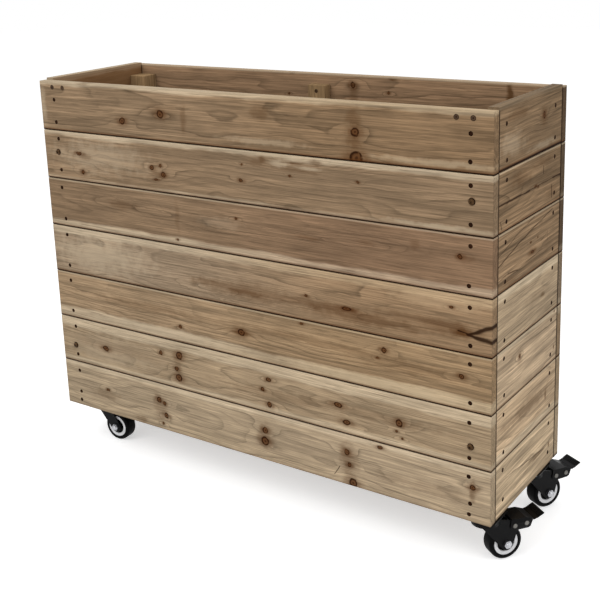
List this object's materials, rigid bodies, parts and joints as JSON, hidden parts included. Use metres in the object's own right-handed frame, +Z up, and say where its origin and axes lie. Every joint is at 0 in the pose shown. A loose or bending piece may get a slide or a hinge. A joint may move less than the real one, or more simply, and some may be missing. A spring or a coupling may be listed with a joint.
{
  "type": "rolling planter",
  "caption": "Tall open box planter of horizontal rough wooden boards nailed to corner and middle battens, on swivel casters with foot brakes at one end.",
  "frame": {"origin": "on the floor, in the middle of the space that the planter covers with its brake pedals as they stand at rest", "axes": "+X along the length towards the braked casters, +Y from the front to the back, +Z up"},
  "size_m": [1.0508, 0.3398, 0.8012],
  "materials": {
    "boards": "weathered rough-sawn pine boards, matte",
    "battens": "rough-sawn pine, matte",
    "floor": "rough-sawn pine, matte",
    "nails": "dark, weathered steel",
    "zinc_fasteners": "zinc-plated, satin",
    "bearing_steel": "polished",
    "black_steel": "black coated pressed steel, semi-gloss",
    "hubs": "black with a pale face ring",
    "tyres": "black, smooth"
  },
  "bodies": {
    "box": {"front_board_1": "boards", "front_board_2": "boards", "front_board_3": "boards", "front_board_4": "boards", "front_board_5": "boards", "front_board_6": "boards", "front_board_7": "boards", "back_board_1": "boards", "back_board_2": "boards", "back_board_3": "boards", "back_board_4": "boards", "back_board_5": "boards", "back_board_6": "boards", "back_board_7": "boards", "left_board_1": "boards", "left_board_2": "boards", "left_board_3": "boards", "left_board_4": "boards", "left_board_5": "boards", "left_board_6": "boards", "left_board_7": "boards", "right_board_1": "boards", "right_board_2": "boards", "right_board_3": "boards", "right_board_4": "boards", "right_board_5": "boards", "right_board_6": "boards", "right_board_7": "boards", "front_battens": "battens", "back_battens": "battens", "left_battens": "battens", "right_battens": "battens", "floor_boards": "floor", "floor_strips": "floor", "bottom_rails": "battens", "nails": "nails", "wood_screws": "zinc_fasteners", "panel_bolts": "zinc_fasteners", "bolt_nuts": "zinc_fasteners", "caster_screws": "zinc_fasteners", "caster_plates": "black_steel", "swivel_bearings": "bearing_steel"},
    "front_left_swivel": {"front_left_yoke": "black_steel", "front_left_axle": "zinc_fasteners"},
    "front_left_wheel": {"front_left_hub": "hubs", "front_left_tyre": "tyres"},
    "front_right_swivel": {"front_right_yoke": "black_steel", "front_right_axle": "zinc_fasteners"},
    "front_right_wheel": {"front_right_hub": "hubs", "front_right_tyre": "tyres"},
    "front_right_brake": {"front_right_brake_pedal": "black_steel"},
    "rear_left_swivel": {"rear_left_yoke": "black_steel", "rear_left_axle": "zinc_fasteners"},
    "rear_left_wheel": {"rear_left_hub": "hubs", "rear_left_tyre": "tyres"},
    "rear_right_swivel": {"rear_right_yoke": "black_steel", "rear_right_axle": "zinc_fasteners"},
    "rear_right_wheel": {"rear_right_hub": "hubs", "rear_right_tyre": "tyres"},
    "rear_right_brake": {"rear_right_brake_pedal": "black_steel"}
  },
  "joints": [
    {"name": "front_left_swivel_turn", "type": "hinge", "parent": "box", "child": "front_left_swivel", "pos_m": [-0.46937, -0.10694, 0.08], "axis": [0, 0, 1], "continuous": true},
    {"name": "front_left_wheel_roll", "type": "hinge", "parent": "front_left_swivel", "child": "front_left_wheel", "pos_m": [-0.43542, -0.10516, 0.0315], "axis": [-0.0523, 0.9986, 0], "continuous": true},
    {"name": "front_right_swivel_turn", "type": "hinge", "parent": "box", "child": "front_right_swivel", "pos_m": [0.44763, -0.12793, 0.08], "axis": [0, 0, 1], "continuous": true},
    {"name": "front_right_wheel_roll", "type": "hinge", "parent": "front_right_swivel", "child": "front_right_wheel", "pos_m": [0.46762, -0.10043, 0.0315], "axis": [-0.809, 0.5878, 0], "continuous": true},
    {"name": "front_right_brake_press", "type": "hinge", "parent": "front_right_swivel", "child": "front_right_brake", "pos_m": [0.47574, -0.08924, 0.06409], "axis": [-0.809, 0.5878, 0], "range_deg": [0, 15]},
    {"name": "rear_left_swivel_turn", "type": "hinge", "parent": "box", "child": "rear_left_swivel", "pos_m": [-0.46937, 0.06807, 0.08], "axis": [0, 0, 1], "continuous": true},
    {"name": "rear_left_wheel_roll", "type": "hinge", "parent": "rear_left_swivel", "child": "rear_left_wheel", "pos_m": [-0.43742, 0.07969, 0.0315], "axis": [-0.342, 0.9397, 0], "continuous": true},
    {"name": "rear_right_swivel_turn", "type": "hinge", "parent": "box", "child": "rear_right_swivel", "pos_m": [0.44763, 0.06807, 0.08], "axis": [0, 0, 1], "continuous": true},
    {"name": "rear_right_wheel_roll", "type": "hinge", "parent": "rear_right_swivel", "child": "rear_right_wheel", "pos_m": [0.46411, 0.0978, 0.0315], "axis": [-0.8746, 0.4848, 0], "continuous": true},
    {"name": "rear_right_brake_press", "type": "hinge", "parent": "rear_right_swivel", "child": "rear_right_brake", "pos_m": [0.47082, 0.1099, 0.06409], "axis": [-0.8746, 0.4848, 0], "range_deg": [0, 15]}
  ]
}
